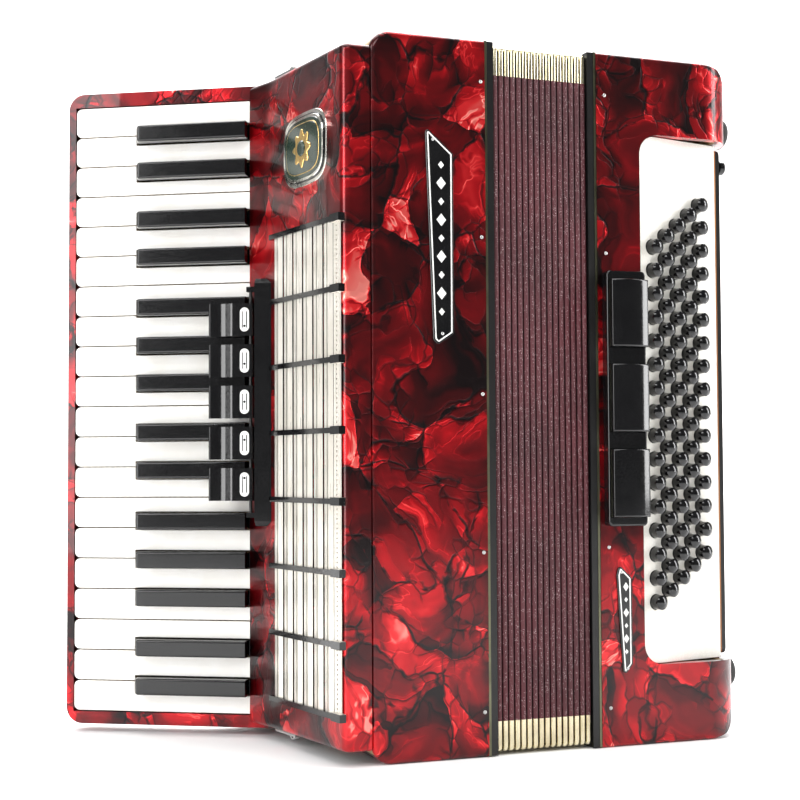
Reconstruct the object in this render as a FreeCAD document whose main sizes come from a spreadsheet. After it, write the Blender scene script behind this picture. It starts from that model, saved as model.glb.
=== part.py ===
import FreeCAD
import Part
import math
import os
from FreeCAD import Placement, Rotation, Vector

# Piano accordion, treble side at -X, bass side at +X, front towards -Y, standing on its lower
# end. Lengths are in millimetres. Plan coordinates start at the seam between the grille cover
# and the treble casing (x), at the front face (y) and at the lower end (z); the assembly is
# then moved so that its origin is the middle of its footprint.

DIMENSIONS = {
    # casings
    "casing_height": 400.0,
    "casing_depth": 190.0,
    "casing_width": 68.5,
    "casing_wall": 6.0,
    "casing_corner": 12.0,
    "edge_round": 3.0,
    "tone_wall": 8.0,
    # bellows and its frames
    "frame_width": 5.5,
    "frame_band": 11.0,
    "frame_inset": 0.6,
    "bellows_width": 59.0,
    "bellows_gap": 0.2,
    "bellows_inset": 2.0,
    "bellows_band": 15.0,
    # bass casing
    "bass_width": 96.0,
    "bass_corner": 24.0,
    "bass_end_round": 23.0,
    "bass_cavity_corner": 16.0,
    "bass_cavity": 84.0,
    "recess_left": 28.0,
    "recess_low": 45.5,
    "recess_height": 308.5,
    "recess_corner": 12.0,
    "opening_left": 31.0,
    "opening_right": 84.0,
    "opening_low": 70.0,
    "opening_high": 330.0,
    "board_slant": 12.8,
    "board_length": 61.0,
    "board_thickness": 2.4,
    "end_recess": 7.6,
    "end_plate_thickness": 3.5,
    # bass buttons
    "button_rows": 16,
    "button_columns": 5,
    "button_pitch": 13.8,
    "column_pitch": 9.2,
    "button_first_x": 9.0,
    "button_first_z": 81.2,
    "button_radius": 4.2,
    "button_hole_radius": 4.6,
    "button_height": 7.4,
    # grille
    "cover_gap": 0.15,
    "cover_low": 8.0,
    "cover_height": 383.0,
    "cover_wall": 3.0,
    "grille_corner_x": 15.5,
    "grille_angle": 99.24,
    "grille_straight": 94.0,
    "bar_count": 8,
    "bar_pitch": 38.36,
    "bar_first_z": 26.7,
    "slat_count": 6,
    "slat_pitch": 12.6,
    "slat_width": 10.4,
    # keyboard
    "key_root_x": -36.3,
    "key_root_y": 114.1,
    "keyboard_angle": 149.0,
    "key_pitch": 18.5,
    "key_gap": 0.6,
    "white_keys": 20,
    "key_first_z": 13.0,
    "white_length": 111.2,
    "key_thickness": 9.0,
    "black_length": 71.5,
    "black_width": 10.0,
    "black_rise": 9.5,
    "axle_depth": 4.5,
    "axle_inset": 12.0,
    "axle_radius": 1.5,
    "running_clearance": 0.05,
    "bed_low": 5.0,
    "bed_height": 387.0,
    "bed_outer": 116.5,
    "bed_corner": 10.0,
    "bed_floor": 15.0,
    "bed_back": 23.0,
    "bed_rim": 1.0,
    # treble registers
    "tablet_count": 5,
    "tablet_pitch": 24.35,
    "tablet_height": 19.3,
    "register_middle_z": 199.0,
    "housing_height": 146.6,
    "pin_radius": 1.0,
    # bass registers
    "cap_count": 3,
    "cap_pitch": 48.6,
    "cap_height": 38.8,
    "cap_width": 23.6,
    "housing_width": 25.2,
    "housing_inset": 2.6,
    "cap_clearance": 0.4,
    # middle of the footprint
    "centre_x": 61.305,
    "centre_y": 96.003,
}

# Black keys by the white key above them, counted from the upper end, and how far each stands
# below the line between its two white keys.
NOTE_NAMES = "GABCDEFGABCDEFGABCDE"
BLACK_SHIFT = {"G": 0.5, "A": 4.8, "C": -2.3, "D": 2.2, "F": -4.2}

doc = FreeCAD.newDocument("piano_accordion")
sheet = doc.addObject("Spreadsheet::Sheet", "Dims")
for row, (alias, number) in enumerate(DIMENSIONS.items(), start=1):
    sheet.set(f"A{row}", alias)
    sheet.set(f"B{row}", str(number))
    sheet.setAlias(f"B{row}", alias)
doc.recompute()

nodes = []


def dim(alias):
    """A driving dimension, read from the sheet."""
    return float(sheet.get(alias))


# ---------------------------------------------------------------- frames

UP = Vector(0, 0, 1)
TO_ORIGIN = Placement(Vector(-dim("centre_x"), -dim("centre_y"), 0), Rotation())
KEYBOARD = Placement(
    Vector(dim("key_root_x"), dim("key_root_y"), 0), Rotation(UP, dim("keyboard_angle"))
)
GRILLE = Placement(Vector(-dim("grille_corner_x"), 0, 0), Rotation(UP, dim("grille_angle")))
FRAME_LEFT = dim("casing_width")
BELLOWS_LEFT = FRAME_LEFT + dim("frame_width") + dim("bellows_gap")
BASS_FRAME_LEFT = BELLOWS_LEFT + dim("bellows_width") + dim("bellows_gap")
BASS_LEFT = BASS_FRAME_LEFT + dim("frame_width")
BASS_RIGHT = BASS_LEFT + dim("bass_width")
END_PLATE_LEFT = BASS_RIGHT - dim("end_recess")
BOARD = Placement(
    Vector(BASS_LEFT + dim("recess_left") + 0.3, 0.8, 0), Rotation(UP, dim("board_slant"))
)


def to_keyboard(x, y):
    """A point of the plan in the keyboard's coordinates: along a key, above the keys."""
    local = KEYBOARD.inverse().multVec(Vector(x, y, 0))
    return local.x, local.y


def to_plan(frame, x, y):
    """A point of a local frame in plan coordinates."""
    point = frame.multVec(Vector(x, y, 0))
    return point.x, point.y


# ---------------------------------------------------------------- building blocks


def rounded_outline(corners):
    """Lines and arcs of a closed outline with corners (x, y) or (x, y, radius)."""
    points = [Vector(corner[0], corner[1], 0) for corner in corners]
    radii = [corner[2] if len(corner) > 2 else 0.0 for corner in corners]
    stations = []
    for index, point in enumerate(points):
        to_before = (points[index - 1] - point).normalize()
        to_after = (points[(index + 1) % len(points)] - point).normalize()
        half = to_before.getAngle(to_after) / 2
        setback = radii[index] / math.tan(half)
        start = point + to_before * setback
        end = point + to_after * setback
        inward = (to_before + to_after).normalize() if radii[index] else Vector()
        middle = point + inward * (radii[index] / math.sin(half) - radii[index])
        stations.append((start, middle, end))
    edges = []
    for index, (start, middle, end) in enumerate(stations):
        following = stations[(index + 1) % len(stations)][0]
        if radii[index]:
            edges.append(Part.Arc(start, middle, end))
        if end.distanceToPoint(following) > 1e-6:
            edges.append(Part.LineSegment(end, following))
    return edges


def rectangle(left, low, right, high, radius=0.0):
    """Corners of an upright rectangle, all with the same rounding."""
    return [(left, low, radius), (right, low, radius), (right, high, radius), (left, high, radius)]


def circle(x, y, radius):
    """One circle as sketch geometry."""
    return Part.Circle(Vector(x, y, 0), UP, radius)


def new_body(label, frame=Placement()):
    """An empty body, placed in its frame of the assembly."""
    body = doc.addObject("PartDesign::Body", label)
    body.Label = label
    body.Placement = TO_ORIGIN.multiply(frame)
    return body


def new_sketch(body, plane_role, offset, geometry):
    """A sketch on one of the body's own origin planes, moved along its normal."""
    sketch = body.newObject("Sketcher::SketchObject", body.Label + "_sketch")
    planes = [item for item in body.Origin.OriginFeatures if item.Role == plane_role]
    sketch.AttachmentSupport = [(planes[0], "")]
    sketch.MapMode = "FlatFace"
    sketch.AttachmentOffset = Placement(Vector(0, 0, offset), Rotation())
    for item in geometry:
        sketch.addGeometry(item)
    return sketch


def add_pad(body, plane_role, offset, geometry, length, reverse=False):
    """A pad from a sketch; its length is a number or a formula of the sheet."""
    sketch = new_sketch(body, plane_role, offset, geometry)
    pad = body.newObject("PartDesign::Pad", body.Label + "_pad")
    pad.Profile = sketch
    pad.Reversed = reverse
    set_length(pad, length)
    return pad


def add_pocket(body, plane_role, offset, geometry, length, reverse=False):
    """A pocket from a sketch; it must take material away."""
    doc.recompute()
    before = body.Shape.Volume
    sketch = new_sketch(body, plane_role, offset, geometry)
    pocket = body.newObject("PartDesign::Pocket", body.Label + "_pocket")
    pocket.Profile = sketch
    pocket.Reversed = reverse
    set_length(pocket, length)
    doc.recompute()
    if body.Shape.Volume >= before - 1e-3:
        raise RuntimeError(f"the pocket in {body.Label} cuts nothing")
    return pocket


def set_length(feature, length):
    """Set a feature's length from a number or from a formula."""
    if isinstance(length, str):
        feature.setExpression("Length", length)
    else:
        feature.Length = length


def add_fillet(body, radius, is_wanted):
    """Round those edges of the body for which is_wanted(edge) is true."""
    doc.recompute()
    base = body.Tip
    names = [
        f"Edge{number}"
        for number, edge in enumerate(base.Shape.Edges, start=1)
        if is_wanted(edge)
    ]
    fillet = body.newObject("PartDesign::Fillet", body.Label + "_fillet")
    fillet.Base = (base, names)
    fillet.Radius = radius
    return fillet


def add_chamfer(body, size, is_wanted):
    """Chamfer those edges of the body for which is_wanted(edge) is true."""
    doc.recompute()
    base = body.Tip
    names = [
        f"Edge{number}"
        for number, edge in enumerate(base.Shape.Edges, start=1)
        if is_wanted(edge)
    ]
    chamfer = body.newObject("PartDesign::Chamfer", body.Label + "_chamfer")
    chamfer.Base = (base, names)
    chamfer.Size = size
    return chamfer


def lies_at(edge, axis, position, tolerance=0.01):
    """Whether the whole edge lies in the plane axis = position."""
    box = edge.BoundBox
    low = getattr(box, axis + "Min")
    high = getattr(box, axis + "Max")
    return abs(low - position) < tolerance and abs(high - position) < tolerance


def bound_box(label, formulas):
    """A box whose size and place are formulas of the sheet."""
    box = doc.addObject("Part::Box", label)
    for property_name, formula in formulas.items():
        box.setExpression(property_name, formula)
    return box


def bound_ring(label, left, width, inset, band):
    """A rectangular ring in the plane across the bellows, sized by formulas."""
    outer = bound_box(
        label + "_outer",
        {
            "Length": width,
            "Width": f"Dims.casing_depth - 2 * {inset}",
            "Height": f"Dims.casing_height - 2 * {inset}",
            "Placement.Base.x": left,
            "Placement.Base.y": inset,
            "Placement.Base.z": inset,
        },
    )
    inner = bound_box(
        label + "_inner",
        {
            "Length": f"{width} + 2",
            "Width": f"Dims.casing_depth - 2 * {band}",
            "Height": f"Dims.casing_height - 2 * {band}",
            "Placement.Base.x": f"{left} - 1",
            "Placement.Base.y": band,
            "Placement.Base.z": band,
        },
    )
    return boolean_cut(label, outer, inner)


def boolean_cut(label, base, tool):
    """base minus tool, placed with the assembly."""
    cut = doc.addObject("Part::Cut", label)
    cut.Label = label
    cut.Base = base
    cut.Tool = tool
    return cut


def plain_solid(label, shape):
    """A helper solid used as a tool or as one of many equal pieces."""
    feature = doc.addObject("Part::Feature", label)
    feature.Shape = shape
    return feature


def group(label, members):
    """Several separate solids that share one node."""
    compound = doc.addObject("Part::Compound", label)
    compound.Label = label
    compound.Links = members
    return compound


def keep(item, frame=None):
    """Note a finished sub-part; a frame places it in the assembly."""
    if frame is not None:
        item.Placement = TO_ORIGIN.multiply(frame)
    nodes.append(item)
    return item


# ---------------------------------------------------------------- keyboard layout


def white_low(index):
    """Lower edge of the pitch of a white key counted from the upper end."""
    return dim("key_first_z") + dim("key_pitch") * (dim("white_keys") - 1 - index)


def black_keys():
    """Pairs (line below which white key, middle height) of the black keys."""
    keys = []
    for index, note in enumerate(NOTE_NAMES[:-1]):
        if note in BLACK_SHIFT:
            keys.append((index, white_low(index) - BLACK_SHIFT[note]))
    return keys


BLACK_MIDDLE = dict(black_keys())
NOTCH_HALF = dim("black_width") / 2 + 0.5
PALLET_FACE = -0.25
PALLET_BACK = -5.5
ARM_BACK = -9.5
WHITE_PALLET = (50.0, 80.0)
BLACK_PALLET = (18.0, 44.0)
WHITE_PALLET_HALF = 7.0
BLACK_PALLET_HALF = 4.5
WHITE_HUB_START = -4.0
BLACK_HUB_START = -5.8
BLACK_ROOT = -8.0


def notch_edges(index):
    """Lower and upper edge of a white key between the black keys beside it."""
    low = white_low(index) + dim("key_gap") / 2
    high = white_low(index) + dim("key_pitch") - dim("key_gap") / 2
    if index in BLACK_MIDDLE:
        low = max(low, BLACK_MIDDLE[index] + NOTCH_HALF)
    if index - 1 in BLACK_MIDDLE:
        high = min(high, BLACK_MIDDLE[index - 1] - NOTCH_HALF)
    return low, high


# ---------------------------------------------------------------- treble side


def make_treble_casing():
    """Open box with rounded left corners and a wall of tone holes, and strap brackets."""
    height = dim("casing_height")
    depth = dim("casing_depth")
    width = dim("casing_width")
    wall = dim("casing_wall")
    corner = dim("casing_corner")
    body = new_body("treble_casing_box")
    outline = [(0, 0, corner), (width, 0), (width, height), (0, height, corner)]
    add_pad(body, "XZ_Plane", 0, rounded_outline(outline), "Dims.casing_depth", reverse=True)
    add_fillet(
        body,
        dim("edge_round"),
        lambda edge: (lies_at(edge, "Y", 0) or lies_at(edge, "Y", depth))
        and not lies_at(edge, "X", width),
    )
    cavity = rounded_outline(rectangle(wall, wall, depth - wall, height - wall, 4.0))
    add_pocket(body, "YZ_Plane", width, cavity, "Dims.casing_width - Dims.tone_wall")
    holes = []
    for index in range(int(dim("white_keys"))):
        middle = white_low(index) + dim("key_pitch") / 2
        holes += tone_hole(WHITE_PALLET, middle, WHITE_PALLET_HALF)
    for index in BLACK_MIDDLE:
        holes += tone_hole(BLACK_PALLET, white_low(index), BLACK_PALLET_HALF)
    add_pocket(body, "YZ_Plane", 0, holes, "Dims.tone_wall + 1", reverse=True)
    brackets = [make_strap_bracket(f"strap_bracket_{end}", end) for end in ("low", "high")]
    hooks = [make_strap_hook(f"strap_hook_{end}", end) for end in ("low", "high")]
    body.Placement = Placement()
    keep(group("treble_casing", [body] + brackets + hooks), Placement())


def tone_hole(pallet_span, middle, pallet_half):
    """A tone hole, smaller all round than the pallet that closes it."""
    margin = 2.5
    return rounded_outline(
        rectangle(
            pallet_span[0] + margin,
            middle - pallet_half + margin,
            pallet_span[1] - margin,
            middle + pallet_half - margin,
            0.8,
        )
    )


def make_strap_bracket(label, end):
    """Back plate with an eye for the shoulder strap, near one end of the casing's back."""
    plate_height = 34.0
    eye_radius = 7.0
    eye_hole = 4.0
    middle = 46.0 if end == "low" else dim("casing_height") - 46.0
    back = dim("casing_depth")
    plate = Part.makeBox(22, 2, plate_height, Vector(16, back, middle - plate_height / 2))
    ear = Part.makeBox(4, 6, 2 * eye_radius, Vector(25, back + 2, middle - eye_radius))
    disc = Part.makeCylinder(eye_radius, 4, Vector(25, back + 8, middle), Vector(1, 0, 0))
    hole = Part.makeCylinder(eye_hole, 6, Vector(24, back + 8, middle), Vector(1, 0, 0))
    return plain_solid(label, plate.fuse([ear, disc]).removeSplitter().cut(hole))


def make_strap_hook(label, end):
    """Small steel hook on one end of the grille cover, beside its side wall."""
    rise = 4.5
    low_end = dim("cover_low")
    high_end = low_end + dim("cover_height")
    plate = Part.makeBox(26, 12, 1.2, Vector(64, -14, 0))
    eye = Part.makeCylinder(rise, 3, Vector(76, -6, 0), Vector(0, -1, 0))
    eye = eye.common(Part.makeBox(20, 20, rise, Vector(66, -20, 0)))
    hole = Part.makeCylinder(1.7, 6, Vector(76, -5, 1.9), Vector(0, -1, 0))
    hook = plate.fuse(eye).removeSplitter().cut(hole)
    if end == "low":
        hook = hook.mirror(Vector(), UP)
        hook.translate(Vector(0, 0, low_end))
    else:
        hook.translate(Vector(0, 0, high_end))
    hook.transformShape(GRILLE.toMatrix())
    return plain_solid(label, hook)


def make_grille_cover():
    """Shell over the key levers: front strip, slotted side wall and end caps."""
    gap = dim("cover_gap")
    wall = dim("cover_wall")
    low = dim("cover_low")
    straight = dim("grille_straight")
    above_keys = 1.2
    bend = to_plan(GRILLE, straight, 0)
    foot = to_plan(KEYBOARD, 0, above_keys)
    inner_end = (-gap, keyboard_line(above_keys))
    body = new_body("grille_cover_shell")
    outline = [
        (-gap, 0),
        (-dim("grille_corner_x"), 0, 5.0),
        (bend[0], bend[1], 60.0),
        foot,
        inner_end,
    ]
    add_pad(body, "XY_Plane", low, rounded_outline(outline), "Dims.cover_height")
    add_fillet(
        body,
        dim("edge_round"),
        lambda edge: (lies_at(edge, "Z", low) or lies_at(edge, "Z", low + dim("cover_height")))
        and not lies_at(edge, "X", -gap)
        and not on_underside(edge, above_keys),
    )
    bend_inside = to_plan(GRILLE, straight, -wall)
    foot_inside = to_plan(KEYBOARD, -0.8 * wall, -wall)
    cavity = [
        (gap, wall),
        (-dim("grille_corner_x") + wall, wall, 2.0),
        (bend_inside[0], bend_inside[1], 50.0),
        foot_inside,
        (gap, inner_end[1] + 4 * wall),
    ]
    top_inside = low + dim("cover_height") - wall
    add_pocket(
        body, "XY_Plane", top_inside, rounded_outline(cavity), "Dims.cover_height - 2 * Dims.cover_wall"
    )
    body.Placement = Placement()
    slots = plain_solid("sound_slots", Part.makeCompound(sound_slots()))
    keep(boolean_cut("grille_cover", body, slots), Placement())


def keyboard_line(above_keys):
    """Where the plane above_keys over the key tops meets the casing's side, in y."""
    start = to_plan(KEYBOARD, 0, above_keys)
    angle = math.radians(dim("keyboard_angle"))
    return start[1] + (-dim("cover_gap") - start[0]) * math.tan(angle)


def on_underside(edge, above_keys):
    """Whether both ends of an edge lie on the cover's open underside."""
    return all(
        abs(to_keyboard(vertex.Point.x, vertex.Point.y)[1] - above_keys) < 0.01
        for vertex in edge.Vertexes
    )


def sound_slots():
    """Slots through the side wall, one under each slat between two crossbars."""
    slots = []
    for bar in range(int(dim("bar_count")) - 1):
        for slat in range(int(dim("slat_count"))):
            slot = Part.makeBox(dim("slat_width") - 3, 12, dim("bar_pitch") - 10)
            slot.translate(Vector(slat_start(slat) + 1.5, -10, bar_height(bar) + 5))
            slot.Placement = GRILLE.multiply(slot.Placement)
            slots.append(slot)
    return slots


def slat_start(index):
    """Front edge of a slat along the grille wall."""
    return 9.9 + dim("slat_pitch") * index


def bar_height(index):
    """Middle height of a crossbar."""
    return dim("bar_first_z") + dim("bar_pitch") * index


def make_grille_slats():
    """Ridged slats and a perforated strip, held down by notched crossbars."""
    low = bar_height(0) - 1.2
    length = bar_height(int(dim("bar_count")) - 1) + 1.2 - low
    lift = 0.8
    width = dim("slat_width")
    section = [(0, lift), (width, lift), (width, 1.5), (0.35 * width, 2.3), (0, 1.3)]
    slats = []
    for index in range(int(dim("slat_count"))):
        points = [Vector(slat_start(index) + x, y, low) for x, y in section]
        face = Part.Face(Part.makePolygon(points + points[:1]))
        slats.append(face.extrude(Vector(0, 0, length)))
    strip = Part.makeBox(6.8, 1.0, length, Vector(1.6, lift, low))
    hole_pitch = 2.6
    hole_count = int((length - 4) / hole_pitch)
    holes = [
        Part.makeCylinder(0.6, 3, Vector(5.0, 0, low + 3 + hole_pitch * number), Vector(0, 1, 0))
        for number in range(hole_count)
    ]
    strip = strip.cut(Part.makeCompound(holes))
    solids = slats + [strip]
    laid = Part.makeCompound(solids)
    for index in range(int(dim("bar_count"))):
        height = bar_height(index)
        bar = Part.makeBox(89, 3.3, 3.0, Vector(-1.5, 0.05, height - 1.5))
        block = Part.makeBox(10.5, 3.9, 4.4, Vector(-1.5, 0.05, height - 2.2))
        solids.append(bar.fuse(block).removeSplitter().cut(laid))
    keep(plain_solid("grille_slats", Part.makeCompound(solids)), GRILLE)


def make_keyboard_bed():
    """Boards that hold a well for the keys, with a cove behind them, and the keys' axle."""
    low = dim("bed_low")
    rim = -dim("bed_rim")
    back = -dim("bed_back")
    outer = dim("bed_outer")
    side = -dim("cover_gap")
    cove_end = to_keyboard(side, dim("casing_depth") - 14)
    wall_top = to_keyboard(side, keyboard_line(rim))
    outline = [
        (outer, rim),
        (outer, back, 5.0),
        (14, back - 3, 36.0),
        cove_end,
        wall_top,
    ]
    body = new_body("keyboard_bed_slab", KEYBOARD)
    add_pad(body, "XY_Plane", low, rounded_outline(outline), "Dims.bed_height")
    add_fillet(
        body,
        dim("bed_corner"),
        lambda edge: lies_at(edge, "X", outer)
        and (lies_at(edge, "Z", low) or lies_at(edge, "Z", low + dim("bed_height"))),
    )
    well_low = dim("key_first_z") - 0.6
    well_high = dim("key_first_z") + dim("key_pitch") * dim("white_keys") + 0.6
    floor = -dim("bed_floor")
    floor_end = to_keyboard(side, keyboard_line(floor))
    well = [
        (dim("white_length") + 0.8, 4, 0),
        (dim("white_length") + 0.8, floor, 1.0),
        (floor_end[0] - 2, floor),
        (floor_end[0] - 16, 4),
    ]
    add_pocket(body, "XY_Plane", well_high, rounded_outline(well), well_high - well_low)
    axle = doc.addObject("Part::Cylinder", "key_axle")
    axle.setExpression("Radius", "Dims.axle_radius")
    axle.Height = well_high - well_low
    axle.Placement = Placement(
        Vector(-dim("axle_inset"), -dim("axle_depth"), well_low), Rotation()
    )
    body.Placement = Placement()
    far = 300.0
    cove_start = 40.3
    boards = {
        "bed_board": ((cove_start, -far, 0), (far, floor, far * 2)),
        "bed_root": ((-far, -far, 0), (cove_start, floor, far * 2)),
        "bed_tip": ((dim("white_length"), floor, well_low), (far, far, well_high)),
        "bed_low_cheek": ((-far, floor, 0), (far, far, well_low)),
        "bed_high_cheek": ((-far, floor, well_high), (far, far, far * 2)),
    }
    members = [axle]
    for label, (low_corner, high_corner) in boards.items():
        size = Vector(*high_corner) - Vector(*low_corner)
        limits = plain_solid(
            label + "_limits", Part.makeBox(size.x, size.y, size.z, Vector(*low_corner))
        )
        board = doc.addObject("Part::Common", label)
        board.Base = body
        board.Tool = limits
        members.append(board)
    keep(group("keyboard_bed", members), KEYBOARD)


def make_reed_block(label, left, front, low, height, reach):
    """A wooden reed block with a row of metal reed plates on each side."""
    thickness = 20.0
    plate_height = 15.0
    plate_thickness = 1.2
    pitch = 20.0
    body = new_body(label)
    block = rectangle(left, front, left + reach, front + thickness)
    add_pad(body, "XY_Plane", low, rounded_outline(block), height)
    plates = []
    for number in range(int((height - 10) / pitch)):
        start = low + 8 + pitch * number
        plates += rounded_outline(
            rectangle(left + 8, start, left + reach - 5, start + plate_height)
        )
    # A sketch on the XZ plane looks along +Y, so its offset runs towards -Y.
    add_pad(body, "XZ_Plane", -front, plates, plate_thickness)
    add_pad(body, "XZ_Plane", -front - thickness, plates, plate_thickness, reverse=True)
    body.Placement = Placement()
    return body


def make_reed_blocks():
    """Three treble blocks on the tone wall and two bass blocks on the end wall."""
    treble = [
        make_reed_block(f"treble_reed_block_{number}", dim("tone_wall"), front, 22, 356, 50)
        for number, front in enumerate((86.0, 118.0, 150.0))
    ]
    keep(group("treble_reed_blocks", treble), Placement())
    bass = [
        make_reed_block(f"bass_reed_block_{number}", BASS_LEFT + 24, front, 40, 320, 60)
        for number, front in enumerate((96.0, 136.0))
    ]
    keep(group("bass_reed_blocks", bass), Placement())


# ---------------------------------------------------------------- keys


def add_lever(body, hub_start, hub_span, arm_span, pallet_span, pallet_middle, pallet_half):
    """Hub on the axle, bent arm and pallet behind a key's stick."""
    axle = (-dim("axle_inset"), -dim("axle_depth"))
    hub = [
        (hub_start, -1),
        (hub_start, -8.5),
        (axle[0], axle[1] - 5, 4),
        (axle[0] - 5.5, axle[1], 2),
        (-13, 2),
    ]
    arm_end = pallet_span[0] + 4
    arm = [
        (-13, 2),
        (axle[0], axle[1] - 3.5),
        (axle[0] - 5, axle[1] - 1),
        to_keyboard(PALLET_BACK, 92),
        to_keyboard(PALLET_BACK, arm_end),
        to_keyboard(ARM_BACK, arm_end),
        to_keyboard(ARM_BACK, 88),
    ]
    pallet = [
        to_keyboard(PALLET_FACE, pallet_span[0]),
        to_keyboard(PALLET_FACE, pallet_span[1]),
        to_keyboard(PALLET_BACK, pallet_span[1]),
        to_keyboard(PALLET_BACK, pallet_span[0]),
    ]
    spans = (
        (hub, hub_span[0], hub_span[1] - hub_span[0]),
        (arm, arm_span[0], arm_span[1] - arm_span[0]),
        (pallet, pallet_middle - pallet_half, 2 * pallet_half),
    )
    for outline, start, height in spans:
        add_pad(body, "XY_Plane", start, rounded_outline(outline), height)
    top = max(hub_span[1], arm_span[1]) + 1
    bore = circle(axle[0], axle[1], dim("axle_radius") + dim("running_clearance"))
    add_pocket(body, "XY_Plane", top, [bore], top - min(hub_span[0], arm_span[0]) + 1)


def make_white_key(index):
    """A white key: stick with notches for its black neighbours, and its lever."""
    low = white_low(index) + dim("key_gap") / 2
    high = white_low(index) + dim("key_pitch") - dim("key_gap") / 2
    neck_low, neck_high = notch_edges(index)
    tip = dim("white_length")
    root = -5.0
    shoulder = dim("black_length") + 0.8
    outline = [(tip, low, 3.4), (tip, high, 3.4)]
    if neck_high < high - 0.01:
        outline += [(shoulder, high), (shoulder, neck_high)]
    outline += [(root, neck_high), (root, neck_low)]
    if neck_low > low + 0.01:
        outline += [(shoulder, neck_low), (shoulder, low)]
    body = new_body(f"white_key_{index + 1:02d}", KEYBOARD)
    add_pad(body, "XZ_Plane", 0, rounded_outline(outline), "Dims.key_thickness")
    add_fillet(
        body,
        0.5,
        lambda edge: lies_at(edge, "Y", 0) and edge.BoundBox.XMax > root + 1,
    )
    middle = (neck_low + neck_high) / 2
    span = (middle - 2, middle + 2)
    pallet_middle = white_low(index) + dim("key_pitch") / 2
    add_lever(body, WHITE_HUB_START, span, span, WHITE_PALLET, pallet_middle, WHITE_PALLET_HALF)
    keep(body)


def make_black_key(number, line_index, middle):
    """A black key: raised block with rounded edges, and its lever beside the white ones."""
    half = dim("black_width") / 2
    rise = dim("black_rise")
    tip = dim("black_length")
    low = -dim("key_thickness")
    side = [
        (BLACK_ROOT, low),
        (tip, low),
        (tip, 1.5),
        (tip - 3, rise, 1.5),
        (0.8, rise),
        (0.8, -1),
        (BLACK_ROOT, -1),
    ]
    body = new_body(f"black_key_{number:02d}", KEYBOARD)
    add_pad(body, "XY_Plane", middle - half, rounded_outline(side), "Dims.black_width")
    add_fillet(
        body,
        1.3,
        lambda edge: (lies_at(edge, "Z", middle - half) or lies_at(edge, "Z", middle + half))
        and edge.BoundBox.YMax > 2
        and edge.BoundBox.XMax > 1,
    )
    line = white_low(line_index)
    hub_span = (min(middle, line) - 1.5, max(middle, line) + 1.5)
    arm_span = (line - 1.5, line + 1.5)
    add_lever(body, BLACK_HUB_START, hub_span, arm_span, BLACK_PALLET, line, BLACK_PALLET_HALF)
    keep(body)


def make_keys():
    """All white and black keys, counted from the upper end."""
    for index in range(int(dim("white_keys"))):
        make_white_key(index)
    for number, (line_index, middle) in enumerate(BLACK_MIDDLE.items(), start=1):
        make_black_key(number, line_index, middle)


# ---------------------------------------------------------------- treble registers

TABLET_HINGE = (-4.8, 16.2)
TABLET_TIP = 20.6
TABLET_UNDER = 14.0


def make_register_housing():
    """Bar along the grille wall that carries the register tablets on a steel pin."""
    low = dim("register_middle_z") - dim("housing_height") / 2
    clear = 0.15
    upper = to_keyboard(*to_plan(GRILLE, 91.0, clear))
    lower = to_keyboard(*to_plan(GRILLE, 100.0, 1.4))
    body = new_body("register_housing_bar", KEYBOARD)
    outline = [(-7.4, upper[1]), upper, lower, (-7.4, lower[1])]
    add_pad(body, "XY_Plane", low, rounded_outline(outline), "Dims.housing_height")
    add_chamfer(
        body,
        3.0,
        lambda edge: (lies_at(edge, "Z", low) or lies_at(edge, "Z", low + dim("housing_height")))
        and lies_at(edge, "Y", upper[1]),
    )
    lug = rectangle(-7.5, TABLET_HINGE[1] - 2.4, TABLET_HINGE[0] + 2.4, TABLET_HINGE[1] + 1.2)
    for start in (low + 5, low + dim("housing_height") - 8):
        add_pad(body, "XY_Plane", start, rounded_outline(lug), 3.0)
    pin = doc.addObject("Part::Cylinder", "register_pin")
    pin.setExpression("Radius", "Dims.pin_radius")
    pin.setExpression("Height", "Dims.housing_height - 16")
    pin.Placement = Placement(Vector(TABLET_HINGE[0], TABLET_HINGE[1], low + 8), Rotation())
    body.Placement = Placement()
    keep(group("register_housing", [body, pin]), KEYBOARD)


def make_treble_registers():
    """Tablets that rock on the housing's pin, each with a finger dish."""
    for number in range(int(dim("tablet_count"))):
        offset = (int(dim("tablet_count")) - 1) / 2 - number
        middle = dim("register_middle_z") + dim("tablet_pitch") * offset
        low = middle - dim("tablet_height") / 2
        outline = [
            (-6.9, TABLET_UNDER, 0.8),
            (TABLET_TIP, TABLET_UNDER, 1.2),
            (TABLET_TIP, 18.9, 1.2),
            (13.0, 17.6, 14.0),
            (6.0, 19.4, 6.0),
            (-6.9, 19.4, 1.0),
        ]
        body = new_body(f"treble_register_{number + 1}", KEYBOARD)
        add_pad(body, "XY_Plane", low, rounded_outline(outline), "Dims.tablet_height")
        top = low + dim("tablet_height") + 1
        bore = circle(TABLET_HINGE[0], TABLET_HINGE[1], dim("pin_radius") + dim("running_clearance"))
        add_pocket(body, "XY_Plane", top, [bore], dim("tablet_height") + 2)
        keep(body)


# ---------------------------------------------------------------- bellows


def make_bellows():
    """Two frames and the folded bellows between them, as rings."""
    frame_left = "Dims.casing_width"
    bellows_left = f"{frame_left} + Dims.frame_width + Dims.bellows_gap"
    bass_left = f"{bellows_left} + Dims.bellows_width + Dims.bellows_gap"
    rings = (
        ("treble_bellows_frame", frame_left, "Dims.frame_width", "frame"),
        ("bellows", bellows_left, "Dims.bellows_width", "bellows"),
        ("bass_bellows_frame", bass_left, "Dims.frame_width", "frame"),
    )
    for label, left, width, kind in rings:
        ring = bound_ring(label, left, width, f"Dims.{kind}_inset", f"Dims.{kind}_band")
        keep(ring, Placement())


# ---------------------------------------------------------------- bass side


AIR_BUTTON = (21.5, 342.0)
AIR_BORE_RADIUS = 3.4


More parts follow.
